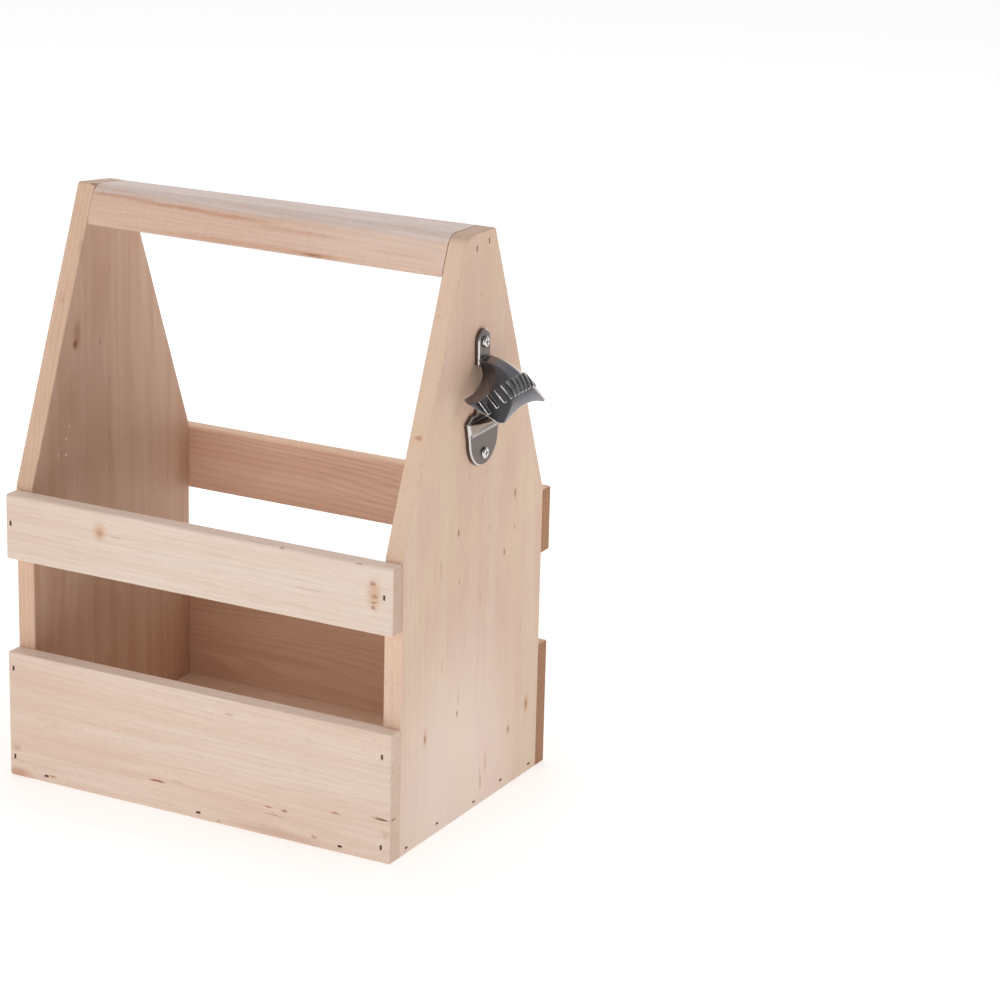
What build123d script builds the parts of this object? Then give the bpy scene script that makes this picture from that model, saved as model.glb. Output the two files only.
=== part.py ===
from build123d import *
from math import atan2, degrees
import os

# Bottle caddy: a nailed wooden carrier for six bottles, three long and two deep,
# with a cast bottle opener screwed on its right end panel.
# X runs along the caddy, with the opener at the plus end. Minus Y is the front, Z is up,
# and the origin is the centre of the underside. All lengths are millimetres.

# Sizes of the carrier
caddy_length = 268  # over the outer faces of both end panels
panel_depth = 170
panel_thickness = 12
panel_height = 356
shoulder_height = 182  # where the upright sides of a panel begin to slant
panel_top_width = 33  # between the slanted sides, before the corners are rounded
board_thickness = 11  # lower boards and slats
lower_board_height = 80
slat_height = 41
slat_gap = 59  # between a lower board and the slat above it
floor_thickness = 12
handle_height = 24
handle_bottom_round = 2.5
handle_end_gap = 0.15  # between each end of the handle bar and its panel
edge_round = 0.8  # sanded edges of the panels, boards and floor
slat_round = 1.6
overrun = 2  # how far a cut runs past the face that it opens

# Top corners of the two panels and of the handle between them, worked by hand and so uneven
left_fall = 4  # how much lower the back corner lies than the front one, at the left end
right_fall = 0.4
left_front_round = 2
left_back_round = 3.5
right_front_round = 10
right_back_round = 2
handle_front_round = 10

# Nails, flat-sided brads with a bar head, and where they stand as shares of the wood that they hold
nail_length = 24
nail_width = 1.6
nail_thickness = 1.2
nail_head_width = 3
nail_head_thickness = 1.4
nail_head_depth = 0.9
nail_tip_length = 2.5
nail_tip_thickness = 0.3
nail_sink = 0.9  # how deep the top of a head lies below the wood
nail_clearance = 0.05
quarter_turn = 90  # degrees, of the rows whose heads stand upright and of the opener's middle rib
left_nail_inset = 3.6  # from the left end of a board
right_nail_inset = 6
left_board_nail_shares = (0.155, 0.87)
right_board_nail_shares = (0.12, 0.82)
slat_nail_share = 0.56
floor_nail_height_share = 0.35
board_floor_nail_shares = (-0.80, 0.02, 0.75)
panel_floor_nail_shares = ((-0.90, 0.32), (-0.47, 0.50), (0.06, 0.33), (0.46, 0.53), (0.89, 0.39))
handle_nail_shares = ((-0.34, 0.64), (0.54, 0.72))

# Sizes of the bottle opener, heights taken from its lowest point
opener_bottom_height = 216.8  # above the underside of the caddy
opener_off_centre = 3.2  # of its lowest point, towards the back
opener_tilt = 1.8  # degrees, as it was screwed on
opener_height = 82.4
plate_thickness = 3
plate_round = 1.2
tab_width = 14
tab_foot_drop = 3.2  # of the bottom edge of the tab below the bend of the hood
foot_radius = 17
shoulder_width = 39
opener_shoulder = 29.2
opener_shoulder_round = 6
web_root = 33.2  # top edge of the lower plate, where the narrow web begins
web_top_drop = 1  # of the top edge of the web, hidden behind the hood, below the back of its rim
web_round = 3
lip_height = 29.4
lip_width = 37
lip_reach = 8
lip_round = 0.8
lip_foot = 20.2  # where the two ends of the lip start to lean out of the plate
lip_foot_width = 34
lip_foot_bow = 2.2  # of the crease at the foot of the lip, which rises to its middle
lip_foot_lean = 75  # degrees, of the crease out of level
bend_height = 65.2  # where the hood leaves the tab

# Hood, as four sections stacked from its rim up to the tab
hood_width = 57
hood_reach = 29  # from the panel to the front of the rim
hood_back = 3.5  # from the panel to the back of the rim
rim_back_height = 47
rim_front_height = 36.4
rim_round = 4
brow_height = 52.7
brow_width = 35
brow_back = 5
brow_reach = 25.5
brow_round = 10
crown_back_height = 58.5
crown_front_height = 60.7
crown_width = 18.5
crown_back = 4.5
crown_reach = 18
crown_round = 4.5
neck_round = 1
corner_share = 0.49  # of the shorter side of a section, the most that its corners are rounded by
hood_wall = 3
crown_wall = 4.2
arch_width = 46
arch_rise = 4.4

# Stay inside the hood, which carries the lower plate from the web up into the crown
stay_width = 5
stay_foot_drop = 8  # of its foot below the top edge of the web
stay_foot_reach = 5
stay_inset = 0.5  # from the back of the brow to the back of the stay
stay_back_rise = 2  # from the top edge of the web to where its back turns upright
stay_reach = 14
stay_front_drop = 5.5  # of the end of its front below the back of the crown

# Plain ribs in a row round the brow of the hood, which faces half outwards and half up
rib_count = 13
rib_fan = 144  # degrees, from the first rib to the last
rib_axis_depth = 20  # from the brow down to the line that the ribs fan out from
rib_width = 1.8
rib_height = 9.5
rib_stand = 0.7

# Screws of the opener
screw_diameter = 3.4
screw_clearance = 0.1
screw_head_diameter = 7
screw_head_height = 1.5
screw_head_round = 1.2
screw_length = 13  # under the head, and short of the inner face of the panel
screw_tip_length = 3
screw_tip_diameter = 0.6
top_screw_height = 74.9
bottom_screw_height = 7.6
recess_width = 0.9
recess_span = 4.2
recess_depth = 1.1

# Places worked out from the sizes above
half_length = caddy_length / 2
half_depth = panel_depth / 2
half_top_width = panel_top_width / 2
inner_half_length = half_length - panel_thickness
side_face = half_depth + board_thickness
slat_bottom = lower_board_height + slat_gap
left_nail_place = -half_length + left_nail_inset
right_nail_place = half_length - right_nail_inset
handle_bottom = panel_height - handle_height
slant = (half_depth - half_top_width) / (panel_height - shoulder_height)

front_plane = Plane(origin=(0, -side_face, 0), x_dir=(1, 0, 0), z_dir=(0, -1, 0))
back_plane = Plane(origin=(0, side_face, 0), x_dir=(-1, 0, 0), z_dir=(0, 1, 0))
right_plane = Plane(origin=(half_length, 0, 0), x_dir=(0, 1, 0), z_dir=(1, 0, 0))
left_plane = Plane(origin=(-half_length, 0, 0), x_dir=(0, 1, 0), z_dir=(1, 0, 0))
left_outer_plane = Plane(origin=(-half_length, 0, 0), x_dir=(0, -1, 0), z_dir=(-1, 0, 0))
opener_plane = Plane(
    origin=(half_length, opener_off_centre, opener_bottom_height),
    x_dir=Vector(0, 1, 0).rotate(Axis.X, opener_tilt),
    z_dir=(1, 0, 0),
)
os.makedirs("parts", exist_ok=True)


def save(piece, label):
    """Name a finished piece and write it to its own file."""
    piece.part.label = label
    export_step(piece.part, f"parts/{label}.step")


def point_taper(diameter, tip_diameter, length):
    """Return the taper, in degrees, that narrows a shank to its tip over a length."""
    return degrees(atan2((diameter - tip_diameter) / 2, length))


# Nails

floor_nail_height = floor_thickness * floor_nail_height_share
slat_nail_height = slat_bottom + slat_height * slat_nail_share
board_nail_places = [(left_nail_place, lower_board_height * share) for share in left_board_nail_shares]
board_nail_places += [(right_nail_place, lower_board_height * share) for share in right_board_nail_shares]
slat_nail_places = [(left_nail_place, slat_nail_height), (right_nail_place, slat_nail_height)]
board_floor_nail_places = [(half_length * share, floor_nail_height) for share in board_floor_nail_shares]
panel_floor_nail_places = [
    (half_depth * across, floor_thickness * up) for across, up in panel_floor_nail_shares
]
handle_nail_places = [
    (half_top_width * across, handle_bottom + handle_height * up) for across, up in handle_nail_shares
]


def mirrored(places):
    """Return the places of a row as they lie on a face that is seen from its other side."""
    return [(-across, up) for across, up in places]


def nail_outlines(face, places, width, thickness, turn):
    """Return the outlines of one row of heads or shanks on a face."""
    with BuildSketch(face) as outlines:
        with Locations(*places):
            Rectangle(width, thickness, rotation=turn)
    return outlines.sketch


def cut_nail_holes(face, places, turn=0):
    """Cut the holes of one row of nails into the piece being built, straight in from a face."""
    start = face.offset(overrun)
    play = 2 * nail_clearance
    heads = nail_outlines(start, places, nail_head_width + play, nail_head_thickness + play, turn)
    extrude(heads, -(overrun + nail_sink + nail_head_depth), mode=Mode.SUBTRACT)
    shanks = nail_outlines(start, places, nail_width + play, nail_thickness + play, turn)
    extrude(shanks, -(overrun + nail_sink + nail_length), mode=Mode.SUBTRACT)


def make_nails(face, places, label, turn=0):
    """Make one row of sunk nails, each a bar head on a shank that ends in a chisel point."""
    under_head = face.offset(-nail_sink - nail_head_depth)
    shank_length = nail_length - nail_head_depth - nail_tip_length
    with BuildPart() as nails:
        heads = nail_outlines(under_head, places, nail_head_width, nail_head_thickness, turn)
        extrude(heads, nail_head_depth)
        shanks = nail_outlines(under_head, places, nail_width, nail_thickness, turn)
        extrude(shanks, -shank_length)
        tip_face = under_head.offset(-shank_length)
        tips = nail_outlines(tip_face, places, nail_width, nail_thickness, turn)
        tip_taper = point_taper(nail_thickness, nail_tip_thickness, nail_tip_length)
        extrude(tips, -nail_tip_length, taper=tip_taper)
    save(nails, label)


# Side boards: two wide lower boards and two narrow slats


def make_side_board(face, bottom, height, rounding, panel_nails, floor_nails, label):
    """Make one board that lies against the edges of both panels, and may be nailed to the floor."""
    with BuildPart() as board:
        with BuildSketch(face):
            with Locations((0, bottom + height / 2)):
                Rectangle(caddy_length, height)
        extrude(amount=-board_thickness)
        fillet(board.edges(), radius=rounding)
        cut_nail_holes(face, panel_nails, quarter_turn)
        if floor_nails:
            cut_nail_holes(face, floor_nails)
    save(board, label)


# The back face is seen with the right end at its left, so its rows of nails are mirrored
side_faces = (
    ("front", front_plane, board_nail_places, slat_nail_places),
    ("back", back_plane, mirrored(board_nail_places), mirrored(slat_nail_places)),
)
for side, face, board_places, slat_places in side_faces:
    make_side_board(
        face,
        0,
        lower_board_height,
        edge_round,
        board_places,
        board_floor_nail_places,
        f"{side}_lower_board",
    )
    make_side_board(face, slat_bottom, slat_height, slat_round, slat_places, (), f"{side}_upper_slat")
    make_nails(face, board_places, f"{side}_board_nails", quarter_turn)
    make_nails(face, board_floor_nail_places, f"{side}_floor_nails")
    make_nails(face, slat_places, f"{side}_slat_nails", quarter_turn)


# End panels: the same outline but for their top corners, the right one with pilot holes
# for the opener


def top_corners(fall):
    """Return the back and front top corners, with the back one lowered along the slanted side."""
    return (half_top_width + slant * fall, panel_height - fall), (-half_top_width, panel_height)


def make_panel(outline_face, outer_face, inward, fall, top_rounds, screw_rows, label):
    """Make one end panel, extruded from its outline towards the middle of the caddy."""
    with BuildPart() as panel:
        with BuildSketch(outline_face):
            with BuildLine():
                FilletPolyline(
                    (-half_depth, 0),
                    (half_depth, 0),
                    (half_depth, shoulder_height),
                    *top_corners(fall),
                    (-half_depth, shoulder_height),
                    radius=(0, 0, 0, *top_rounds, 0),
                    close=True,
                )
            make_face()
        extrude(amount=inward * panel_thickness)
        rim_edges = panel.faces().filter_by(Axis.X).edges()
        fillet(rim_edges, radius=edge_round)
        cut_nail_holes(outer_face, panel_floor_nail_places)
        cut_nail_holes(outer_face, handle_nail_places, quarter_turn)
        for _, side_plane, board_places, slat_places in side_faces:
            cut_nail_holes(side_plane, board_places + slat_places, quarter_turn)
        for height in screw_rows:
            with BuildSketch(opener_plane.offset(overrun)):
                with Locations((0, height)):
                    Circle(screw_diameter / 2 + screw_clearance)
            hole_depth = screw_length - plate_thickness + screw_clearance
            extrude(amount=-(overrun + hole_depth), mode=Mode.SUBTRACT)
    save(panel, label)


make_panel(
    right_plane,
    right_plane,
    -1,
    right_fall,
    (right_back_round, right_front_round),
    (top_screw_height, bottom_screw_height),
    "right_end_panel",
)
make_panel(
    left_plane,
    left_outer_plane,
    1,
    left_fall,
    (left_back_round, left_front_round),
    (),
    "left_end_panel",
)
for side, face in (("right", right_plane), ("left", left_outer_plane)):
    make_nails(face, panel_floor_nail_places, f"{side}_panel_floor_nails")
    make_nails(face, handle_nail_places, f"{side}_handle_nails", quarter_turn)


# Floor board, between the panels and the lower boards

with BuildPart() as floor_board:
    with BuildSketch(Plane.XY):
        Rectangle(2 * inner_half_length, panel_depth)
    extrude(amount=floor_thickness)
    fillet(floor_board.edges(), radius=edge_round)
    for face in (front_plane, back_plane):
        cut_nail_holes(face, board_floor_nail_places)
    for face in (right_plane, left_outer_plane):
        cut_nail_holes(face, panel_floor_nail_places)
save(floor_board, "floor_board")


# Handle bar, its sides in line with the slanted sides of the panels


def handle_section(place, fall, back_round):
    """Return the section of the handle bar at a place along the caddy."""
    bottom_half_width = half_top_width + slant * handle_height
    with BuildSketch(Plane.YZ.offset(place)) as section:
        with BuildLine():
            FilletPolyline(
                (-bottom_half_width, handle_bottom),
                (bottom_half_width, handle_bottom),
                *top_corners(fall),
                radius=(handle_bottom_round, handle_bottom_round, back_round, handle_front_round),
                close=True,
            )
        make_face()
    return section.sketch


handle_half_length = inner_half_length - handle_end_gap
with BuildPart() as handle_bar:
    left_section = handle_section(-handle_half_length, left_fall, left_back_round)
    right_section = handle_section(handle_half_length, right_fall, right_back_round)
    loft([left_section, right_section], ruled=True)
    for face in (right_plane, left_outer_plane):
        cut_nail_holes(face, handle_nail_places, quarter_turn)
save(handle_bar, "handle_bar")


# Bottle opener: tab, web and lower plate lie on the panel, and a hollow hood stands out from
# the tab over a catch lip


def hood_section(back, back_height, front, front_height, width, corner):
    """Return one rounded section of the hood, on a plane that slopes from its back to its front."""
    start = opener_plane.from_local_coords((0, back_height, back))
    end = opener_plane.from_local_coords((0, front_height, front))
    run = Vector(*end) - Vector(*start)
    middle = (Vector(*end) + Vector(*start)) / 2
    across = opener_plane.x_dir
    with BuildSketch(Plane(origin=middle, x_dir=across, z_dir=run.cross(across))) as section:
        RectangleRounded(width, run.length, min(corner, corner_share * min(width, run.length)))
    return section.sketch


def hood_sections(grow):
    """Return the sections of the outside of the hood from rim to tab, grown on all sides."""
    return [
        hood_section(
            hood_back - grow,
            rim_back_height - grow,
            hood_reach + grow,
            rim_front_height - grow,
            hood_width + 2 * grow,
            rim_round + grow,
        ),
        hood_section(
            brow_back - grow,
            brow_height + grow,
            brow_reach + grow,
            brow_height + grow,
            brow_width + 2 * grow,
            brow_round,
        ),
        hood_section(
            crown_back - grow,
            crown_back_height + grow,
            crown_reach + grow,
            crown_front_height + grow,
            crown_width + 2 * grow,
            crown_round,
        ),
        hood_section(0, bend_height, plate_thickness, bend_height, tab_width, neck_round),
    ]


brow_plane = Plane(
    origin=opener_plane.from_local_coords((0, brow_height, brow_reach)),
    x_dir=opener_plane.x_dir,
    z_dir=opener_plane.z_dir + opener_plane.y_dir,
)
fan_plane = Plane(
    origin=brow_plane.from_local_coords((0, rib_height / 2, -rib_axis_depth)),
    x_dir=brow_plane.x_dir,
    z_dir=brow_plane.y_dir * -1,
)
with BuildPart() as relief:
    loft(hood_sections(rib_stand))
    with BuildSketch(fan_plane):
        with PolarLocations(hood_width / 2, rib_count, quarter_turn - rib_fan / 2, rib_fan, endpoint=True):
            Rectangle(hood_width, rib_width)
    extrude(amount=rib_height, mode=Mode.INTERSECT)

hollow_sections = [
    hood_section(
        -overrun,
        rim_back_height + (rim_back_height - rim_front_height) * overrun / hood_reach - overrun,
        hood_reach - hood_wall,
        rim_front_height - overrun,
        hood_width - 2 * hood_wall,
        rim_round,
    ),
    hood_section(
        -overrun,
        brow_height - hood_wall / 2,
        brow_reach - hood_wall,
        brow_height - hood_wall / 2,
        brow_width - 2 * hood_wall,
        brow_round,
    ),
    hood_section(
        -overrun,
        crown_back_height - crown_wall,
        crown_reach - crown_wall,
        crown_back_height - crown_wall,
        crown_width - 2 * hood_wall,
        crown_round,
    ),
]
with BuildPart() as hollow:
    loft(hollow_sections)

web_top = rim_back_height - web_top_drop
tab_foot = bend_height - tab_foot_drop
with BuildPart() as plate:
    with BuildSketch(opener_plane) as lower_outline:
        with BuildLine():
            Polyline(
                (-foot_radius, foot_radius),
                (-shoulder_width / 2, opener_shoulder),
                (-shoulder_width / 2 + opener_shoulder_round, web_root),
                (-tab_width / 2, web_root),
                (-tab_width / 2, web_top),
                (tab_width / 2, web_top),
                (tab_width / 2, web_root),
                (shoulder_width / 2 - opener_shoulder_round, web_root),
                (shoulder_width / 2, opener_shoulder),
                (foot_radius, foot_radius),
            )
            ThreePointArc((foot_radius, foot_radius), (0, 0), (-foot_radius, foot_radius))
        make_face()
        web_corners = lower_outline.vertices().group_by(Axis.Y)[-2].sort_by(Axis.X)[1:3]
        fillet(web_corners, radius=web_round)
    with BuildSketch(opener_plane):
        with BuildLine():
            Polyline(
                (-tab_width / 2, opener_height - tab_width / 2),
                (-tab_width / 2, tab_foot),
                (tab_width / 2, tab_foot),
                (tab_width / 2, opener_height - tab_width / 2),
            )
            ThreePointArc(
                (tab_width / 2, opener_height - tab_width / 2),
                (0, opener_height),
                (-tab_width / 2, opener_height - tab_width / 2),
            )
        make_face()
    extrude(amount=plate_thickness)
    fillet(plate.faces().group_by(Axis.X)[-1].edges(), radius=plate_round)


def lip_section(height, width, bow, lean):
    """Return one section of the lip, bowed out of the plate, on a plane that leans upwards."""
    level = Plane(
        origin=opener_plane.from_local_coords((0, height, plate_thickness)),
        x_dir=opener_plane.x_dir,
        z_dir=(opener_plane.y_dir * -1).rotate(Axis((0, 0, 0), opener_plane.x_dir), -lean),
    )
    with BuildSketch(level) as section:
        with BuildLine():
            Polyline(
                (-width / 2, 0),
                (-width / 2, -plate_thickness / 2),
                (width / 2, -plate_thickness / 2),
                (width / 2, 0),
            )
            ThreePointArc((-width / 2, 0), (0, bow), (width / 2, 0))
        make_face()
    return section.sketch


with BuildPart() as lip:
    foot_section = lip_section(lip_foot, lip_foot_width, lip_foot_bow, lip_foot_lean)
    loft([foot_section, lip_section(lip_height, lip_width, lip_reach, 0)], ruled=True)
    top_edges = lip.faces().sort_by(Axis.Z)[-1].edges()
    fillet(top_edges.filter_by(GeomType.CIRCLE), radius=lip_round)

stay_top = crown_back_height - plate_thickness / 2
stay_plane = Plane(
    origin=opener_plane.origin,
    x_dir=opener_plane.z_dir,
    z_dir=opener_plane.x_dir * -1,
)
with BuildPart() as bottle_opener:
    loft(hood_sections(0))
    add(relief.part)
    add(hollow.part, mode=Mode.SUBTRACT)
    with BuildSketch(stay_plane):
        with BuildLine():
            Polyline(
                (plate_thickness / 2, web_top - stay_foot_drop),
                (stay_foot_reach, web_top - stay_foot_drop),
                (stay_reach, crown_back_height - stay_front_drop),
                (stay_reach, stay_top),
                (brow_back + stay_inset, stay_top),
                (brow_back + stay_inset, web_top + stay_back_rise),
                (plate_thickness / 2, web_top - plate_thickness / 2),
                close=True,
            )
        make_face()
    extrude(amount=stay_width / 2, both=True)
    with BuildSketch(opener_plane.offset(crown_reach)):
        with BuildLine():
            arch_foot = rim_front_height - overrun
            Polyline(
                (-arch_width / 2, rim_front_height),
                (-arch_width / 2, arch_foot),
                (arch_width / 2, arch_foot),
                (arch_width / 2, rim_front_height),
            )
            ThreePointArc(
                (-arch_width / 2, rim_front_height),
                (0, rim_front_height + arch_rise),
                (arch_width / 2, rim_front_height),
            )
        make_face()
    extrude(amount=hood_reach, mode=Mode.SUBTRACT)
    add(plate.part)
    add(lip.part)
    for height in (top_screw_height, bottom_screw_height):
        with BuildSketch(opener_plane.offset(-overrun)):
            with Locations((0, height)):
                Circle(screw_diameter / 2 + screw_clearance)
        extrude(amount=overrun + plate_thickness + overrun, mode=Mode.SUBTRACT)
save(bottle_opener, "bottle_opener")


# Screws of the opener, with domed heads and cross recesses

for label, height in (
    ("opener_top_screw", top_screw_height),
    ("opener_bottom_screw", bottom_screw_height),
):
    with BuildPart() as screw:
        with BuildSketch(opener_plane.offset(plate_thickness)):
            with Locations((0, height)):
                Circle(screw_head_diameter / 2)
        extrude(amount=screw_head_height)
        head_edge = screw.edges().filter_by(GeomType.CIRCLE).sort_by(Axis.X)[-1]
        fillet(head_edge, radius=screw_head_round)
        with BuildSketch(opener_plane.offset(plate_thickness)):
            with Locations((0, height)):
                Circle(screw_diameter / 2)
        extrude(amount=-(screw_length - screw_tip_length))
        with BuildSketch(opener_plane.offset(plate_thickness - screw_length + screw_tip_length)):
            with Locations((0, height)):
                Circle(screw_diameter / 2)
        extrude(
            amount=-screw_tip_length,
            taper=point_taper(screw_diameter, screw_tip_diameter, screw_tip_length),
        )
        with BuildSketch(opener_plane.offset(plate_thickness + screw_head_height)):
            with Locations((0, height)):
                Rectangle(recess_span, recess_width)
                Rectangle(recess_width, recess_span)
        extrude(amount=-recess_depth, mode=Mode.SUBTRACT)
    save(screw, label)
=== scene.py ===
"""Finish, light and camera for a nailed wooden bottle caddy with a cast opener on its end.

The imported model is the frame: its boards, nails, screws and opener keep their shapes and places,
and the classes below dress them. X runs along the caddy, minus Y is its front and Z is up.
"""

import logging
import math
from collections.abc import Mapping, Sequence
from dataclasses import dataclass
from enum import Enum
from typing import Any, Union

import bmesh
import bpy
from mathutils import Matrix, Vector


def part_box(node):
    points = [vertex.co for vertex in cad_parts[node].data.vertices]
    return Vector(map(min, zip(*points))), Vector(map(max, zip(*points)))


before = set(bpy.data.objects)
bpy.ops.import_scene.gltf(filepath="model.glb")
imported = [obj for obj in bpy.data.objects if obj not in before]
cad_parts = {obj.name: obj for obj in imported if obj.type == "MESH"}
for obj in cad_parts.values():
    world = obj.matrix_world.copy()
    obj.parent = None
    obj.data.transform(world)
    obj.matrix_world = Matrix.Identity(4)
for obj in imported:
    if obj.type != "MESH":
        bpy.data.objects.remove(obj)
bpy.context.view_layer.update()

log = logging.getLogger("bottle_caddy")
MM = 0.001

# A web colour turns into light by a straight foot and, above it, by a power
FOOT_END = 0.04045
FOOT_SLOPE = 12.92
LIFT = 0.055
POWER = 2.4

# What noise comes to on average
NOISE_MEAN = 0.5

Socket = bpy.types.NodeSocket
Key = int | str
Link = Union["Term", Socket, float, Sequence[float]]
Pair = tuple[float, float]
Triple = tuple[float, float, float]


def tint(code: str) -> tuple[float, float, float, float]:
    """Turn a web colour into the linear colour that a shader takes.

    Args:
        code: Six hexadecimal digits, such as "DCC4B2".

    Returns:
        Red, green, blue and an alpha of 1.
    """
    shares = [int(code[i : i + 2], 16) / 255 for i in (0, 2, 4)]
    linear = [
        s / FOOT_SLOPE if s <= FOOT_END else ((s + LIFT) / (1 + LIFT)) ** POWER
        for s in shares
    ]
    return (*linear, 1.0)


class Term:
    """A number that varies over a surface, which can be used in sums like any other number."""

    def __init__(self, graph: "Graph", socket: Socket) -> None:
        """Keep the socket that gives the number, and the graph that its sums are added to."""
        self.graph = graph
        self.socket = socket

    def __add__(self, other: Link) -> "Term":
        """Return self + other."""
        return self.graph.math("ADD", self, other)

    def __sub__(self, other: Link) -> "Term":
        """Return self - other."""
        return self.graph.math("SUBTRACT", self, other)

    def __rsub__(self, other: Link) -> "Term":
        """Return other - self."""
        return self.graph.math("SUBTRACT", other, self)

    def __mul__(self, other: Link) -> "Term":
        """Return self * other."""
        return self.graph.math("MULTIPLY", self, other)

    def __truediv__(self, other: Link) -> "Term":
        """Return self / other."""
        return self.graph.math("DIVIDE", self, other)

    __radd__ = __add__
    __rmul__ = __mul__

    def power(self, exponent: float) -> "Term":
        """Return self raised to an exponent."""
        return self.graph.math("POWER", self, exponent)

    def size(self) -> "Term":
        """Return the number without its sign."""
        return self.graph.math("ABSOLUTE", self)

    def fraction(self) -> "Term":
        """Return what is left of the number over its whole part."""
        return self.graph.math("FRACT", self)

    def or_more(self, other: Link) -> "Term":
        """Return the larger of the number and another."""
        return self.graph.math("MAXIMUM", self, other)

    def step(self, low: float, high: float) -> "Term":
        """Rise smoothly from 0 where the number is low to 1 where it is high."""
        return self.graph.ramp(self, low, high)


class Graph:
    """The nodes of one material, or of the world round the scene."""

    def __init__(self, owner: bpy.types.Material | bpy.types.World) -> None:
        """Empty the owner's nodes.

        Args:
            owner: The material or the world that the nodes belong to.
        """
        owner.use_nodes = True
        self.owner = owner
        self.tree = owner.node_tree
        self.tree.nodes.clear()

    @staticmethod
    def pick(sockets: Any, key: Key) -> Socket:
        """Find a socket of a node.

        Args:
            sockets: The node's inputs or its outputs.
            key: The socket's number, its identifier or its name.

        Returns:
            The socket.
        """
        if isinstance(key, int):
            return sockets[key]
        by_identifier = [socket for socket in sockets if socket.identifier == key]
        return by_identifier[0] if by_identifier else sockets[key]

    def node(
        self,
        kind: str,
        settings: Mapping[str, Any] | None = None,
        values: Mapping[Key, Link] | None = None,
    ) -> bpy.types.Node:
        """Add one node.

        Args:
            kind: The node's type.
            settings: Its own settings, which are set before its sockets are used.
            values: Numbers, colours or links for its input sockets.

        Returns:
            The new node.
        """
        made = self.tree.nodes.new(kind)
        for name, setting in (settings or {}).items():
            setattr(made, name, setting)
        for key, value in (values or {}).items():
            target = self.pick(made.inputs, key)
            if isinstance(value, Term):
                self.tree.links.new(value.socket, target)
            elif isinstance(value, Socket):
                self.tree.links.new(value, target)
            else:
                target.default_value = value
        return made

    def math(self, operation: str, *values: Link) -> Term:
        """Add a Math node on one or two numbers."""
        made = self.node("ShaderNodeMath", {"operation": operation}, dict(enumerate(values)))
        return Term(self, made.outputs[0])

    def vector(self, operation: str, *values: Link) -> Socket:
        """Add a Vector Math node and return its vector."""
        made = self.node("ShaderNodeVectorMath", {"operation": operation}, dict(enumerate(values)))
        return made.outputs["Vector"]

    def measure(self, operation: str, *values: Link) -> Term:
        """Add a Vector Math node that gives a number, such as a length."""
        made = self.node("ShaderNodeVectorMath", {"operation": operation}, dict(enumerate(values)))
        return Term(self, made.outputs["Value"])

    def ramp(self, value: Link, low: float, high: float) -> Term:
        """Rise smoothly from 0 to 1, or fall from 1 to 0 where high is below low.

        Args:
            value: The number that the ramp follows.
            low: Where the result is 0.
            high: Where the result is 1.

        Returns:
            The ramp, from 0 to 1.
        """
        turned = high < low
        ends = (high, low) if turned else (low, high)
        made = self.node(
            "ShaderNodeMapRange",
            {"interpolation_type": "SMOOTHSTEP"},
            {"Value": value, "From Min": ends[0], "From Max": ends[1]},
        )
        rise = Term(self, made.outputs["Result"])
        return 1 - rise if turned else rise

    def noise(self, place: Link, scale: float, detail: float, roughness: float = 0.5) -> Term:
        """Add smooth noise, which lies mostly between 0.3 and 0.7."""
        values = {"Vector": place, "Scale": scale, "Detail": detail, "Roughness": roughness}
        return Term(self, self.node("ShaderNodeTexNoise", None, values).outputs[0])

    def mix(self, share: Link, first: Link, second: Link) -> Socket:
        """Mix two colours.

        Args:
            share: How far the second colour covers the first, from 0 to 1.
            first: The colour below.
            second: The colour on top.

        Returns:
            The mixed colour.
        """
        values = {"Factor_Float": share, "A_Color": first, "B_Color": second}
        made = self.node("ShaderNodeMix", {"data_type": "RGBA"}, values)
        return self.pick(made.outputs, "Result_Color")

    def join(self, *parts: Link) -> Socket:
        """Make a vector of three numbers."""
        return self.node("ShaderNodeCombineXYZ", None, dict(enumerate(parts))).outputs[0]

    def split(self, place: Link) -> list[Term]:
        """Take a vector apart into three numbers."""
        made = self.node("ShaderNodeSeparateXYZ", None, {0: place})
        return [Term(self, socket) for socket in made.outputs]

    def place(self) -> Socket:
        """Return the place on the surface in the caddy's own frame, in millimetres."""
        here = self.node("ShaderNodeTexCoord").outputs["Object"]
        return self.vector("MULTIPLY", here, (1 / MM,) * 3)

    def facing(self) -> list[Term]:
        """Return how far the surface faces along X, Y and Z, each from -1 to 1."""
        return self.split(self.node("ShaderNodeTexCoord").outputs["Normal"])

    def bump(self, height: Link, distance: float, strength: float, **base: Link) -> Socket:
        """Turn a height into a bumped normal, on the normal given as Normal if there is one."""
        values = {"Height": height, "Distance": distance, "Strength": strength, **base}
        return self.node("ShaderNodeBump", None, values).outputs["Normal"]

    def close(self, kind: str, shader: Socket) -> None:
        """Add the output node of that kind and give it the shader."""
        self.node(kind, None, {"Surface": shader})

    def surface(self, values: Mapping[Key, Link]) -> bpy.types.Material:
        """Close the graph with its surface shader.

        Args:
            values: Numbers, colours or links for the shader's sockets.

        Returns:
            The finished material.
        """
        shader = self.node("ShaderNodeBsdfPrincipled", None, values)
        self.close("ShaderNodeOutputMaterial", shader.outputs[0])
        return self.owner


class Grain(Enum):
    """How the fibres of a board lie: its axes in the order along, across and out of its face."""

    LENGTHWISE = (0, 2, 1)
    UPRIGHT = (2, 1, 0)
    FLAT = (0, 1, 2)

    def __init__(self, along: int, across: int, out: int) -> None:
        """Name the three axes.

        Args:
            along: The axis along the fibres: 0 for X, 1 for Y and 2 for Z.
            across: The axis across the board's face.
            out: The axis out of its face.
        """
        self.along = along
        self.across = across
        self.out = out


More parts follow.
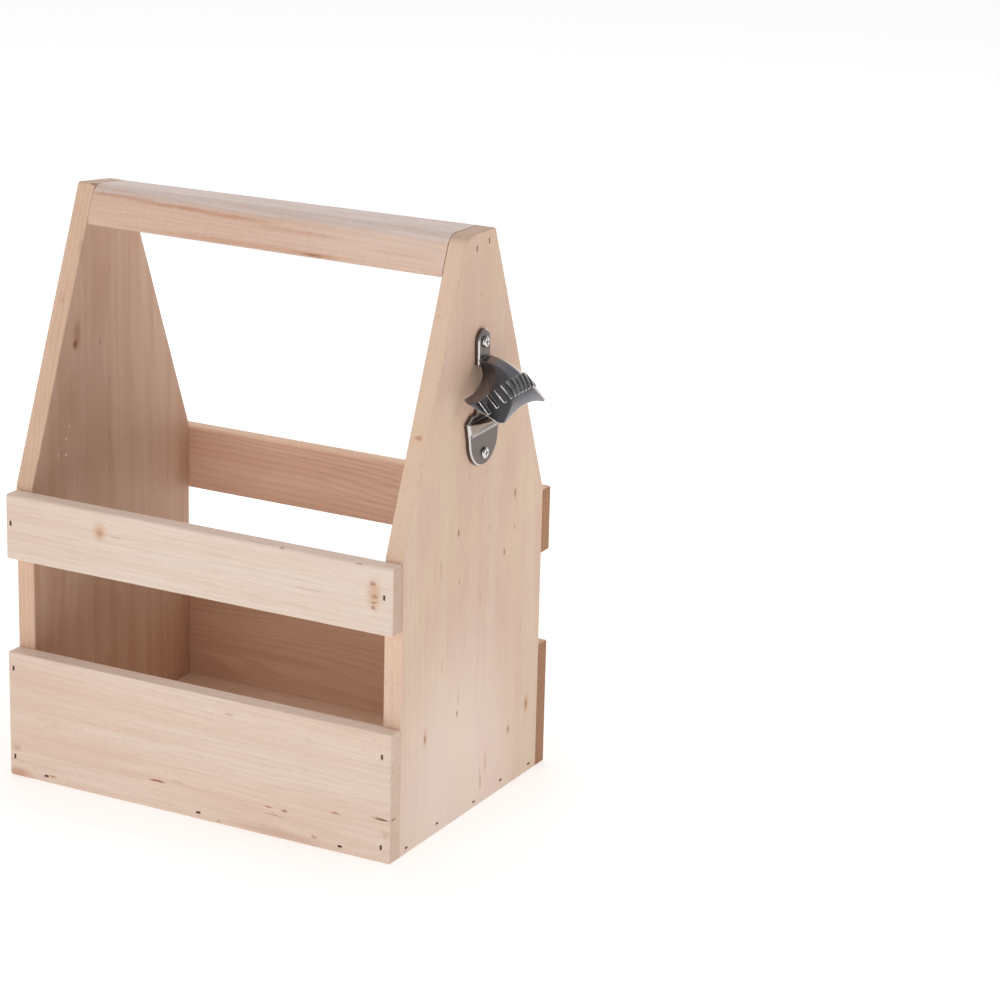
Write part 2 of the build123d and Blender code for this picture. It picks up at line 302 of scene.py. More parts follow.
class MarkKind(Enum):
    """A mark in wood, as its colour and how far its core fills it, the lowest first: natural marks
    and a pale patch of painted light.
    """

    # Painted light: a pale patch standing in for bounce light and sheen.
    PAINTED_LIGHT = ("F5E6DE", 0.30)
    HALO = ("CC9A70", 0.05)
    STREAK = ("B98260", 0.10)
    KNOT = ("8A4A20", 0.25)
    FLECK = ("96522A", 0.20)
    CRACK = ("66402A", 0.35)
    LIGHT = ("FFF3E2", 0.50)

    def __init__(self, tone: str, core: float) -> None:
        """Name the colour and the core."""
        self.tone = tone
        self.core = core


@dataclass(frozen=True)
class Mark:
    """One mark in a board.

    The place is in millimetres in the caddy's own frame, and the lengths are half-axes of the
    ellipsoid that the mark fills: along the grain, across it and out of the face.
    """

    kind: MarkKind
    place: Triple
    along: float
    across: float
    strength: float = 1.0
    out: float = 4.0

    def shown(self, graph: Graph, place: Socket, grain: Grain) -> Term:
        """Work out how far the mark covers the wood.

        Args:
            graph: The nodes of the board's material.
            place: The place on the board, in millimetres.
            grain: How the board's fibres lie.

        Returns:
            0 round the mark, rising to the mark's strength in its core.
        """
        shrink = [0.0, 0.0, 0.0]
        for axis, half in zip(grain.value, (self.along, self.across, self.out)):
            shrink[axis] = 1 / half
        away = graph.vector("SUBTRACT", place, self.place)
        reach = graph.measure("LENGTH", graph.vector("MULTIPLY", away, tuple(shrink)))
        return reach.step(1, self.kind.core) * self.strength


@dataclass(frozen=True)
class Layer:
    """Noise drawn out along the fibres, and where it starts to show and where it is full.

    The length and the width of its grains are millimetres.
    """

    length: float
    width: float
    detail: float
    faint: float = 0.0
    full: float = 1.0


@dataclass(frozen=True)
class Fibres:
    """The place in a board, in millimetres along its fibres, across them and out of its face."""

    graph: Graph
    along: Term
    across: Term
    out: Term

    def noise(self, layer: Layer) -> Term:
        """Return a layer's noise."""
        parts = (self.along / layer.length, self.across / layer.width, self.out / layer.width)
        return self.graph.noise(self.graph.join(*parts), 1, layer.detail)

    def shown(self, layer: Layer) -> Term:
        """Return how far a layer shows, from 0 to 1."""
        return self.noise(layer).step(layer.faint, layer.full)


@dataclass(frozen=True)
class WoodFinish:
    """Bare sanded hardwood as one board shows it: rings, fibres, pores, end grain and marks.

    The node is the board that the wood is for, and the seed moves its grain, so that no two
    boards match. Lengths are millimetres. The pith is the middle of the rings, by its place
    across and out of the board in the caddy's own frame, so a far pith gives straight lines and
    a near one gives arches. A share is how far a tone covers what lies under it, and a span is
    where something starts to show and where it is full. The names in rough, height and depth
    say how much each thing adds to the roughness and to the fine relief.
    """

    node: str
    grain: Grain
    seed: float
    pale: str = "E4D0C0"
    deep: str = "D9B49B"
    # Tone of the narrow faces: partly the edge grain's own colour, partly painted light matched to
    # how those faces are lit.
    edge: str = "E0BC9E"
    end: str = "C8B09E"
    blotch: str = "E4D0C0"
    pith: Pair = (70.0, 60.0)
    ring_pitch: float = 2.3
    ring_share: float = 0.25
    band_share: float = 0.5
    blotch_share: float = 0.3
    line_share: float = 0.30
    fibre_share: float = 0.30
    chatter_share: float = 0.0
    pore_share: float = 0.35
    relief: float = 0.5
    marks: tuple[Mark, ...] = ()

    ring_tone: str = "C49C80"
    line_tone: str = "CFA58A"
    fibre_tone: str = "B98D70"
    pore_tone: str = "8F6246"
    edge_share: float = 0.65
    end_share: float = 0.8
    end_ring_share: float = 0.35
    end_grit_share: float = 0.35
    edge_span: Pair = (0.75, 0.35)
    end_span: Pair = (0.55, 0.9)
    grit_span: Pair = (0.42, 0.68)
    grit_scale: float = 0.9

    threads: Layer = Layer(26.0, 0.42, 3, 0.48, 0.74)
    lines: Layer = Layer(120.0, 1.5, 2, 0.42, 0.72)
    bands: Layer = Layer(300.0, 11.0, 3, 0.36, 0.66)
    blotches: Layer = Layer(60.0, 30.0, 3, 0.36, 0.66)
    pores: Layer = Layer(3.4, 0.34, 1, 0.66, 0.76)
    chatter: Layer = Layer(0.9, 9.0, 2, 0.5, 0.7)

    drift: Layer = Layer(210.0, 60.0, 1)
    drift_reach: Pair = (20.0, 14.0)
    wobble: Layer = Layer(46.0, 9.0, 2)
    wobble_reach: float = 1.3
    ring_taper: float = 0.02
    year_scale: float = 0.31
    year_reach: float = 1.6
    late_rise: Pair = (0.25, 0.88)
    late_fall: Pair = (1.0, 0.9)
    late_wood: Layer = Layer(160.0, 16.0, 2, 0.3, 0.7)
    late_least: float = 0.35

    stir_scale: float = 0.55
    stir_reach: float = 2.2

    roughness: float = 0.60
    end_rough: float = 0.15
    fibre_rough: float = 0.25
    ring_rough: float = 0.04
    fibre_height: float = 0.6
    ring_height: float = 0.25
    pore_depth: float = 0.8
    depth: float = 0.12
    shine: float = 0.45

    def material(self) -> bpy.types.Material:
        """Build the material of this board.

        Returns:
            The finished material.
        """
        graph = Graph(bpy.data.materials.new(f"{self.node}_wood"))
        place = graph.place()
        axes = graph.split(place)
        fibres = Fibres(graph, *(axes[axis] + self.shift(axis) for axis in self.grain.value))
        facing = graph.facing()
        end = facing[self.grain.along].size().step(*self.end_span)
        edge = facing[self.grain.out].size().step(*self.edge_span) * (1 - end)
        rings = self.rings(fibres)
        threads = fibres.noise(self.threads)
        dark_threads = threads.step(self.threads.faint, self.threads.full)
        pores = fibres.shown(self.pores)
        speckle = graph.noise(place, self.grit_scale, detail=4, roughness=0.7)
        grit = speckle.step(*self.grit_span)

        coats = [
            (fibres.shown(self.bands) * self.band_share, self.deep),
            (fibres.shown(self.blotches) * self.blotch_share, self.blotch),
            # Narrow faces: edge tone, partly painted light.
            (edge * self.edge_share, self.edge),
            (rings * self.ring_share, self.ring_tone),
            (fibres.shown(self.lines) * self.line_share, self.line_tone),
            (dark_threads * self.fibre_share, self.fibre_tone),
        ]
        if self.chatter_share:
            coats.append((fibres.shown(self.chatter) * self.chatter_share, self.ring_tone))
        coats += [
            (pores * self.pore_share * (1 - end), self.pore_tone),
            (end * self.end_share, self.end),
            (end * (rings * self.end_ring_share + grit * self.end_grit_share), self.fibre_tone),
        ]
        colour: Link = tint(self.pale)
        for share, tone in coats:
            colour = graph.mix(share, colour, tint(tone))
        colour = self.marked(graph, colour, place)

        height = threads * self.fibre_height + rings * self.ring_height - pores * self.pore_depth
        rough = self.roughness + end * self.end_rough + (threads - NOISE_MEAN) * self.fibre_rough
        return graph.surface(
            {
                "Base Color": colour,
                "Roughness": rough - rings * self.ring_rough,
                "Normal": graph.bump(height + end * speckle, self.depth * MM, self.relief),
                "Specular IOR Level": self.shine,
            }
        )

    def shift(self, axis: int) -> float:
        """Return how far this board's grain is moved along an axis."""
        return self.seed * (axis + 1)

    def rings(self, fibres: Fibres) -> Term:
        """Work out the growth rings, which drift, wobble and differ in width.

        Args:
            fibres: The place in the board.

        Returns:
            1 at the dark end of each year and 0 in its pale wood.
        """
        graph = fibres.graph
        drift = fibres.noise(self.drift) - NOISE_MEAN
        wobble = fibres.noise(self.wobble) - NOISE_MEAN
        middle = (
            self.shift(self.grain.across) + self.pith[0],
            self.shift(self.grain.out) + self.pith[1],
        )
        sideways = fibres.across - middle[0] + drift * self.drift_reach[0]
        inwards = fibres.out - middle[1] + drift * self.drift_reach[1]
        radius = (sideways * sideways + inwards * inwards).power(0.5)
        course = radius + fibres.along * self.ring_taper + wobble * self.wobble_reach
        years = course / self.ring_pitch
        uneven = graph.noise(graph.join(years * self.year_scale, 0, 0), 1, detail=1)
        part = (years + uneven * self.year_reach).fraction()
        late = part.step(*self.late_rise) * part.step(*self.late_fall)
        return late * (self.late_least + fibres.shown(self.late_wood) * (1 - self.late_least))

    def marked(self, graph: Graph, colour: Socket, place: Socket) -> Socket:
        """Lay the knots, flecks, streaks and patches of painted light of this board over its
        colour.

        Args:
            graph: The nodes of the board's material.
            colour: The colour without the marks.
            place: The place on the board, in millimetres.

        Returns:
            The colour with the marks.
        """
        if not self.marks:
            return colour
        values = {"Vector": place, "Scale": self.stir_scale, "Detail": 3.0}
        stir = graph.node("ShaderNodeTexNoise", None, values).outputs["Color"]
        centred = graph.vector("SUBTRACT", stir, (NOISE_MEAN,) * 3)
        reach = (self.stir_reach,) * 3
        stirred = graph.vector("ADD", place, graph.vector("MULTIPLY", centred, reach))
        for kind in MarkKind:
            source = place if kind in (MarkKind.CRACK, MarkKind.LIGHT) else stirred
            for mark in (m for m in self.marks if m.kind is kind):
                share = mark.shown(graph, source, self.grain)
                colour = graph.mix(share, colour, tint(kind.tone))
        return colour


@dataclass(frozen=True)
class MetalFinish:
    """Plated or cast metal with a fine skin, worn bright along its edges; on the casting the
    bright edges are also painted highlights.

    Lengths are millimetres. Scales are waves to the millimetre, the skin's own too. The edge
    span is how far the surface and its rounded form face alike, as a cosine: on a flat face and
    on a worn edge.
    """

    name: str
    tone: str
    worn_and_highlight_tone: str
    roughness: float
    cloud: str = "6B645F"
    cloud_share: float = 0.15
    cloud_scale: float = 0.09
    cloud_span: Pair = (0.4, 0.66)
    scuff_scale: Triple = (2.0, 2.0, 0.2)
    scuff_span: Pair = (0.55, 0.7)
    skin: float = 0.8
    depth: float = 0.004
    relief: float = 0.5
    edge_radius: float = 0.5
    edge_share: float = 0.6
    edge_span: Pair = (0.995, 0.93)
    edge_samples: int = 8
    skin_rough: float = 0.12
    scuff_rough: float = 0.06
    worn_smooth: float = 0.08

    def tones(self, graph: Graph, place: Socket) -> Link:
        """Return the metal's own colour before wear, the same all over."""
        return tint(self.tone)

    def wear_and_highlight(self, graph: Graph, place: Socket, edge: Term) -> Term:
        """Return how far the metal is worn bright, from how near a sharp edge is."""
        return edge

    def material(self) -> bpy.types.Material:
        """Build the material of this metal.

        Returns:
            The finished material.
        """
        graph = Graph(bpy.data.materials.new(self.name))
        place = graph.place()
        skin = graph.noise(place, self.skin, detail=4, roughness=0.6)
        clouds = graph.noise(place, self.cloud_scale, detail=3, roughness=0.55)
        drawn = graph.vector("MULTIPLY", place, self.scuff_scale)
        scuffs = graph.noise(drawn, 1, detail=3, roughness=0.6).step(*self.scuff_span)
        bevel = {"Radius": self.edge_radius * MM}
        rounded = graph.node("ShaderNodeBevel", {"samples": self.edge_samples}, bevel).outputs[0]
        flat = graph.node("ShaderNodeNewGeometry").outputs["Normal"]
        edge = graph.measure("DOT_PRODUCT", rounded, flat).step(*self.edge_span)
        # Bright wear on sharp edges; on the casting it is also a painted highlight.
        bright = self.wear_and_highlight(graph, place, edge)
        dulled = clouds.step(*self.cloud_span) * self.cloud_share
        colour = graph.mix(dulled, self.tones(graph, place), tint(self.cloud))
        rough = self.roughness + (skin - NOISE_MEAN) * self.skin_rough + scuffs * self.scuff_rough
        return graph.surface(
            {
                "Base Color": graph.mix(bright * self.edge_share, colour, tint(self.worn_and_highlight_tone)),
                "Metallic": 1.0,
                "Roughness": rough - bright * self.worn_smooth,
                "Normal": graph.bump(skin, self.depth * MM, self.relief, Normal=rounded),
            }
        )


@dataclass(frozen=True)
class CastFinish(MetalFinish):
    """Satin plating of the opener, with painted reflections on the hood's sides and painted
    highlights on its edges and the plates' rim.

    Heights are millimetres over the lowest point of the opener, and reaches are from its back.
    The flank shade is a painted dark reflection on the side of the hood that faces front, and the
    corner reflection a painted pale reflection on the side that faces back; their spans are how
    far a face turns along Y. The rim highlight is painted on the rounded rim of the plates, and
    its span is how far it still faces along X.
    """

    hood_tone: str = "8C8A8F"
    flank_shade_tone: str = "47474B"
    flank_shade_span: Pair = (-0.5, -0.85)
    corner_reflection_tone: str = "CFC3BC"
    corner_reflection_span: Pair = (0.05, 0.55)
    lip_tone: str = "97887B"
    plate_reach: float = 3.1
    hood_height: float = 34.5
    blend: float = 0.8
    rim_highlight_span: Pair = (0.15, 0.45)
    rim_highlight_share: float = 0.75

    def zones(self, graph: Graph, place: Socket) -> tuple[Term, Term]:
        """Work out which part of the casting a place is on.

        Args:
            graph: The nodes of the casting's material.
            place: The place on the casting, in millimetres.

        Returns:
            1 where the casting stands out of its plates, and 1 where it is as high as the hood.
        """
        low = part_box("bottle_opener")[0] / MM
        x, _, z = graph.split(place)
        out = (x - low.x).step(self.plate_reach, self.plate_reach + self.blend)
        return out, (z - low.z).step(self.hood_height - self.blend, self.hood_height)

    def tones(self, graph: Graph, place: Socket) -> Link:
        """Mix the plating's own colours, the plates', the hood's and the lip's, with the painted
        reflections on the hood's sides.

        Args:
            graph: The nodes of the casting's material.
            place: The place on the casting, in millimetres.

        Returns:
            The colour before wear.
        """
        out, high = self.zones(graph, place)
        sideways = graph.facing()[1]
        # Painted shade on the hood's front side and a painted pale reflection on its back side,
        # set by which way the face turns.
        flank_shade = sideways.step(*self.flank_shade_span)
        hood = graph.mix(flank_shade, tint(self.hood_tone), tint(self.flank_shade_tone))
        hood = graph.mix(sideways.step(*self.corner_reflection_span), hood, tint(self.corner_reflection_tone))
        colour = graph.mix(out * (1 - high), tint(self.tone), tint(self.lip_tone))
        return graph.mix(out * high, colour, hood)

    def wear_and_highlight(self, graph: Graph, place: Socket, edge: Term) -> Term:
        """Work out the bright wear and painted highlights: the sharp edges, and the rounded rim of
        the plates as a painted highlight.

        Args:
            graph: The nodes of the casting's material.
            place: The place on the casting, in millimetres.
            edge: How near a sharp edge is, from 0 to 1.

        Returns:
            How far the metal is worn bright and painted with highlights, from 0 to 1.
        """
        out, _ = self.zones(graph, place)
        outwards = graph.facing()[0].size()
        # Painted highlight along the rounded rim of the plates.
        rim_highlight = outwards.step(*self.rim_highlight_span) * outwards.step(*self.edge_span) * (1 - out)
        return edge.or_more(rim_highlight * self.rim_highlight_share)


def dress(node: str, material: bpy.types.Material) -> None:
    """Give a node of the frame its material.

    Args:
        node: The node's name.
        material: What it is made of.
    """
    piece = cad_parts[node]
    piece.data.materials.clear()
    piece.data.materials.append(material)
    for polygon in piece.data.polygons:
        polygon.material_index = 0
    log.info("%s: %s", node, material.name)


@dataclass
class SideBoards:
    """The two wide lower boards and the two slats that run along the caddy."""

    slot: str = "pale_wood"
    front_face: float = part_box("front_lower_board")[0].y / MM

    def lower_front(self) -> WoodFinish:
        """Describe the wide board at the front, with the marks seen on it.

        Returns:
            The wood of the board.
        """
        face = self.front_face
        marks = (
            Mark(MarkKind.STREAK, (-134.0, face, 60.0), 120.0, 120.0, 0.10),
            Mark(MarkKind.STREAK, (24.2, face, 70.7), 5.0, 1.3, 0.55),
            Mark(MarkKind.FLECK, (-26.5, face, 18.3), 8.0, 1.0, 0.95),
            Mark(MarkKind.STREAK, (-11.5, face, 20.6), 7.0, 0.9, 0.4),
            Mark(MarkKind.FLECK, (-102.4, face, 4.9), 3.4, 1.1, 0.7),
            Mark(MarkKind.FLECK, (51.5, face, 18.5), 3.6, 0.9, 0.8),
            Mark(MarkKind.FLECK, (62.5, face, 18.1), 3.4, 0.9, 0.75),
            Mark(MarkKind.CRACK, (55.4, face, 14.1), 10.0, 0.35, 0.55),
            Mark(MarkKind.STREAK, (97.3, face, 24.5), 5.0, 1.4, 0.8),
            Mark(MarkKind.STREAK, (127.0, face, 27.4), 8.0, 1.6, 0.6),
            Mark(MarkKind.CRACK, (128.3, face, 27.0), 6.5, 0.9, 0.85),
            Mark(MarkKind.FLECK, (133.5, face + 4, 27.0), 3.0, 1.0, 0.8),
            Mark(MarkKind.FLECK, (83.2, face, 6.3), 2.6, 1.2, 0.6),
            Mark(MarkKind.FLECK, (17.3, face, 1.7), 2.2, 1.4, 0.5),
            Mark(MarkKind.STREAK, (-128.0, face, 2.0), 14.0, 6.0, 0.6),
            Mark(MarkKind.STREAK, (-129.0, face, 18.5), 5.0, 3.0, 0.45),
            Mark(MarkKind.STREAK, (131.0, face, 18.0), 4.0, 3.0, 0.35),
            Mark(MarkKind.HALO, (40.0, face, 12.0), 120.0, 9.0, 0.06),
            Mark(MarkKind.STREAK, (60.0, face, 3.0), 60.0, 5.0, 0.35),
        )
        return WoodFinish(
            "front_lower_board",
            Grain.LENGTHWISE,
            11.0,
            pale="E6D3C4",
            deep="E0BEAB",
            # Painted light: the top edge is lightened beyond the wood's own tone.
            edge="F4DECE",
            end="DCC8B8",
            blotch="E8D3C2",
            pith=(-20.0, 75.0),
            ring_pitch=2.0,
            ring_share=0.14,
            line_share=0.22,
            fibre_share=0.24,
            marks=marks,
        )

    def slat_front(self) -> WoodFinish:
        """Describe the slat at the front, with its knots.

        Returns:
            The wood of the slat.
        """
        face = self.front_face
        marks = (
            Mark(MarkKind.STREAK, (-134.0, face, 165.0), 120.0, 80.0, 0.12),
            Mark(MarkKind.HALO, (-65.8, face, 168.0), 7.5, 8.5, 0.55),
            Mark(MarkKind.STREAK, (-66.0, face, 166.7), 4.0, 4.0, 0.6),
            Mark(MarkKind.CRACK, (-54.0, face, 166.0), 6.0, 0.3, 0.5),
            Mark(MarkKind.HALO, (121.5, face, 163.0), 7.0, 14.0, 0.65),
            Mark(MarkKind.KNOT, (120.7, face, 169.2), 3.0, 1.9, 0.6),
            Mark(MarkKind.KNOT, (121.9, face, 161.8), 2.8, 1.4, 0.5),
            Mark(MarkKind.KNOT, (121.2, face, 158.0), 2.6, 1.3, 0.5),
            Mark(MarkKind.KNOT, (120.9, face, 154.9), 2.2, 1.9, 0.6),
            Mark(MarkKind.CRACK, (111.4, face, 179.3), 4.0, 0.5, 0.5),
            Mark(MarkKind.FLECK, (60.3, face, 179.8), 3.0, 0.7, 0.7),
            Mark(MarkKind.STREAK, (78.0, face, 158.0), 14.0, 1.2, 0.25),
        )
        return WoodFinish(
            "front_upper_slat",
            Grain.LENGTHWISE,
            23.0,
            pale="E6D8CB",
            deep="E2C9BA",
            # Painted light: the top edge is lightened beyond the wood's own tone.
            edge="E6CDBE",
            blotch="E6D8CB",
            pith=(14.0, 90.0),
            ring_pitch=2.4,
            ring_share=0.12,
            line_share=0.2,
            marks=marks,
        )

    def lower_back(self) -> WoodFinish:
        """Describe the wide board at the back, which is darker.

        Returns:
            The wood of the board.
        """
        return WoodFinish(
            "back_lower_board",
            Grain.LENGTHWISE,
            37.0,
            pale="DDBBA2",
            deep="CE9F80",
            # Painted shade: the end grain is darkened beyond its own tone.
            end="88582E",
            blotch="DDBBA2",
            pith=(10.0, 55.0),
            ring_pitch=3.0,
            ring_share=0.45,
        )

    def slat_back(self) -> WoodFinish:
        """Describe the slat at the back.

        Returns:
            The wood of the slat.
        """
        return WoodFinish(
            "back_upper_slat",
            Grain.LENGTHWISE,
            53.0,
            pale="EFCBB3",
            deep="E2B197",
            # Painted shade: the end grain is darkened beyond its own tone.
            end="8C5C2E",
            blotch="EFCBB3",
            pith=(-24.0, 48.0),
            ring_pitch=3.4,
            ring_share=0.38,
        )

    def build(self) -> None:
        """Dress all four boards."""
        for wood in (self.lower_front(), self.slat_front(), self.lower_back(), self.slat_back()):
            dress(wood.node, wood.material())


@dataclass
class EndPanels:
    """The two tapered end panels, whose grain runs upright."""

    slot: str = "pale_wood"
    outer_face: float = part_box("right_end_panel")[1].x / MM
    inner_face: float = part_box("right_end_panel")[0].x / MM

    def right(self) -> WoodFinish:
        """Describe the panel with the opener, of which the camera sees the outer face.

        Returns:
            The wood of the panel.
        """
        face = self.outer_face
        middle = (self.outer_face + self.inner_face) / 2
        marks = (
            # Painted light: the bottom of the panel is lightened as bounce from the floor.
            Mark(MarkKind.PAINTED_LIGHT, (face, -20.0, 0.0), 150.0, 110.0, 0.50),
            Mark(MarkKind.STREAK, (face, 0.0, 345.0), 230.0, 140.0, 0.14),
            Mark(MarkKind.HALO, (face, 48.6, 187.4), 6.0, 2.6, 0.45),
            Mark(MarkKind.HALO, (face, 36.5, 153.6), 5.0, 2.6, 0.45),
            Mark(MarkKind.HALO, (face, -20.8, 181.0), 5.0, 2.2, 0.35),
            Mark(MarkKind.FLECK, (face, 48.6, 187.4), 4.2, 1.3, 0.9),
            Mark(MarkKind.FLECK, (face, -20.8, 181.0), 3.2, 1.3, 1.0),
            Mark(MarkKind.STREAK, (face, 17.7, 174.0), 5.0, 0.8, 0.5),
            Mark(MarkKind.FLECK, (face, 36.5, 153.6), 3.0, 1.3, 0.75),
            Mark(MarkKind.FLECK, (face, -18.5, 150.5), 2.8, 1.1, 0.7),
            Mark(MarkKind.FLECK, (face, 49.1, 166.3), 3.0, 1.1, 0.75),
            Mark(MarkKind.STREAK, (face, 16.3, 146.1), 3.0, 0.8, 0.4),
            Mark(MarkKind.STREAK, (face, 8.5, 133.3), 6.0, 1.3, 0.4),
            Mark(MarkKind.STREAK, (face, -41.1, 164.3), 10.0, 2.4, 0.3),
            Mark(MarkKind.STREAK, (face, -37.7, 103.6), 7.0, 1.3, 0.35),
            Mark(MarkKind.STREAK, (face, -17.3, 77.8), 7.0, 1.0, 0.5),
            Mark(MarkKind.FLECK, (face, -18.2, 68.0), 4.0, 1.1, 0.75),
            Mark(MarkKind.HALO, (face, -56.5, 64.9), 9.0, 3.2, 0.5),
            Mark(MarkKind.FLECK, (face, -56.5, 64.9), 4.6, 1.3, 0.8),
            Mark(MarkKind.HALO, (face, 47.4, 36.9), 7.0, 4.2, 0.4),
            Mark(MarkKind.FLECK, (face, 47.4, 36.9), 3.6, 2.0, 0.5),
            Mark(MarkKind.HALO, (face, 70.0, 46.5), 10.0, 4.4, 0.75),
            Mark(MarkKind.KNOT, (face, 70.0, 46.5), 4.2, 1.5, 0.6),
            Mark(MarkKind.HALO, (face, 18.6, 25.0), 11.0, 1.5, 0.7),
            Mark(MarkKind.HALO, (face, 13.0, 14.0), 7.0, 1.8, 0.7),
            Mark(MarkKind.CRACK, (face, 11.8, 18.4), 14.0, 0.35, 0.4),
            Mark(MarkKind.STREAK, (face, 60.0, 98.0), 17.0, 0.6, 0.6),
            Mark(MarkKind.STREAK, (face, -20.7, 351.0), 2.0, 1.0, 0.5),
            Mark(MarkKind.STREAK, (face, -14.5, 340.6), 2.0, 1.0, 0.5),
            Mark(MarkKind.STREAK, (face, 1.0, 318.5), 3.0, 1.0, 0.5),
            Mark(MarkKind.STREAK, (face, -63.0, 180.0), 14.0, 0.5, 0.5),
            Mark(MarkKind.STREAK, (face, -63.0, 146.0), 12.0, 0.4, 0.4),
            Mark(MarkKind.STREAK, (middle, -59.4, 247.0), 3.0, 1.4, 0.8),
        )
        return WoodFinish(
            "right_end_panel",
            Grain.UPRIGHT,
            71.0,
            pale="DBC3B1",
            deep="D8B3A1",
            edge="E6C6AC",
            blotch="DEC7AA",
            blotch_share=0.6,
            pith=(30.0, -95.0),
            ring_pitch=2.8,
            ring_share=0.06,
            band_share=0.6,
            line_share=0.12,
            fibre_share=0.24,
            pore_share=0.6,
            relief=0.25,
            marks=marks,
        )

    def left(self) -> WoodFinish:
        """Describe the other panel, of which the camera sees the inner face.

        Returns:
            The wood of the panel.
        """
        face = -self.inner_face
        middle = -(self.outer_face + self.inner_face) / 2
        marks = (
            Mark(MarkKind.HALO, (face, -35.6, 268.0), 14.0, 6.5, 0.4),
            Mark(MarkKind.KNOT, (face, -37.0, 267.0), 14.0, 5.5, 0.35),
            Mark(MarkKind.KNOT, (face, -38.9, 261.3), 4.2, 3.2, 0.9),
            Mark(MarkKind.STREAK, (face, -10.0, 292.0), 46.0, 18.0, 0.3),
            Mark(MarkKind.STREAK, (face, -44.0, 226.0), 24.0, 12.0, 0.35),
            Mark(MarkKind.KNOT, (face, -31.0, 330.0), 30.0, 3.0, 0.25),
            Mark(MarkKind.FLECK, (face, -12.8, 257.5), 3.6, 0.8, 0.6),
            Mark(MarkKind.FLECK, (face, 3.0, 270.0), 1.2, 0.8, 0.5),
            Mark(MarkKind.LIGHT, (face, -46.2, 211.6), 0.9, 0.9, 0.7),
            Mark(MarkKind.LIGHT, (face, -49.7, 204.3), 0.8, 1.4, 0.8),
            Mark(MarkKind.LIGHT, (face, -57.9, 195.8), 0.9, 0.9, 0.7),
            Mark(MarkKind.LIGHT, (face, -49.9, 194.5), 0.8, 1.8, 0.8),
            Mark(MarkKind.CRACK, (face, -16.5, 355.7), 1.2, 1.2, 0.8),
            Mark(MarkKind.STREAK, (middle, -43.0, 280.0), 18.0, 1.5, 0.6),
        )
        return WoodFinish(
            "left_end_panel",
            Grain.UPRIGHT,
            97.0,
            pale="D8BAA3",
            deep="C49C81",
            edge="DEBBA2",
            blotch="D8BAA3",
            pith=(-14.0, 40.0),
            ring_pitch=3.4,
            ring_share=0.34,
            band_share=0.65,
            fibre_share=0.2,
            relief=0.25,
            marks=marks,
        )

    def build(self) -> None:
        """Dress both panels."""
        for wood in (self.right(), self.left()):
            dress(wood.node, wood.material())


@dataclass
class FloorAndHandle:
    """The floor board between the panels, and the bar that the caddy is lifted by."""

    slot: str = "pale_wood"

    def handle(self) -> WoodFinish:
        """Describe the handle bar, planed and not sanded as finely as the boards.

        Returns:
            The wood of the bar.
        """
        marks = (
            Mark(MarkKind.STREAK, (-104.0, -18.3, 350.8), 46.0, 2.2, 0.60, 2.0),
            Mark(MarkKind.STREAK, (-60.0, -18.9, 349.6), 44.0, 2.0, 0.70, 2.0),
            Mark(MarkKind.STREAK, (-20.0, -19.3, 348.6), 38.0, 1.8, 0.60, 1.8),
            Mark(MarkKind.STREAK, (24.0, -20.6, 345.4), 52.0, 1.8, 0.40, 1.8),
            Mark(MarkKind.STREAK, (92.0, -22.0, 341.6), 40.0, 1.8, 0.25, 1.8),
            Mark(MarkKind.STREAK, (-20.0, -24.4, 334.6), 110.0, 2.4, 0.50, 2.4),
            Mark(MarkKind.STREAK, (38.0, -24.8, 334.2), 26.0, 1.8, 0.70, 1.6),
            Mark(MarkKind.CRACK, (36.0, -24.8, 334.2), 9.0, 0.8, 0.55, 0.8),
            # Painted sheen: the right half of the bar is lightened.
            Mark(MarkKind.PAINTED_LIGHT, (100.0, -22.0, 345.0), 110.0, 16.0, 0.22, 16.0),
        )
        return WoodFinish(
            "handle_bar",
            Grain.FLAT,
            131.0,
            # Partly painted sheen: the top's tones are greyed toward a pale reflection; the warmer
            # edge tone gives the front.
            pale="DCCEC8",
            deep="D4BFB6",
            edge="DDB396",
            blotch="DCD0CC",
            pith=(30.0, 40.0),
            ring_pitch=2.8,
            ring_share=0.28,
            chatter_share=0.18,
            marks=marks,
        )

    def floor(self) -> WoodFinish:
        """Describe the floor board.

        Returns:
            The wood of the board.
        """
        return WoodFinish(
            "floor_board",
            Grain.FLAT,
            151.0,
            pale="DCBFA8",
            deep="CDA388",
            pith=(0.0, -60.0),
            ring_pitch=2.6,
            ring_share=0.4,
        )

    def build(self) -> None:
        """Dress the floor and the handle."""
        for wood in (self.floor(), self.handle()):
            dress(wood.node, wood.material())


@dataclass
class Fasteners:
    """The brads that hold the boards, as rows of separate nails."""

    slot: str = "nail_steel"
    rows: tuple[str, ...] = (
        "front_board_nails",
        "back_board_nails",
        "front_floor_nails",
        "back_floor_nails",
        "front_slat_nails",
        "back_slat_nails",
        "left_panel_floor_nails",
        "right_panel_floor_nails",
        "left_handle_nails",
        "right_handle_nails",
    )
    finish: MetalFinish = MetalFinish(
        "brad_steel",
        "5E4636",
        "7C6858",
        0.42,
        cloud_share=0.4,
        skin=3.0,
        depth=0.03,
        edge_radius=0.15,
    )

    def build(self) -> None:
        """Dress every row."""
        steel = self.finish.material()
        for row in self.rows:
            dress(row, steel)


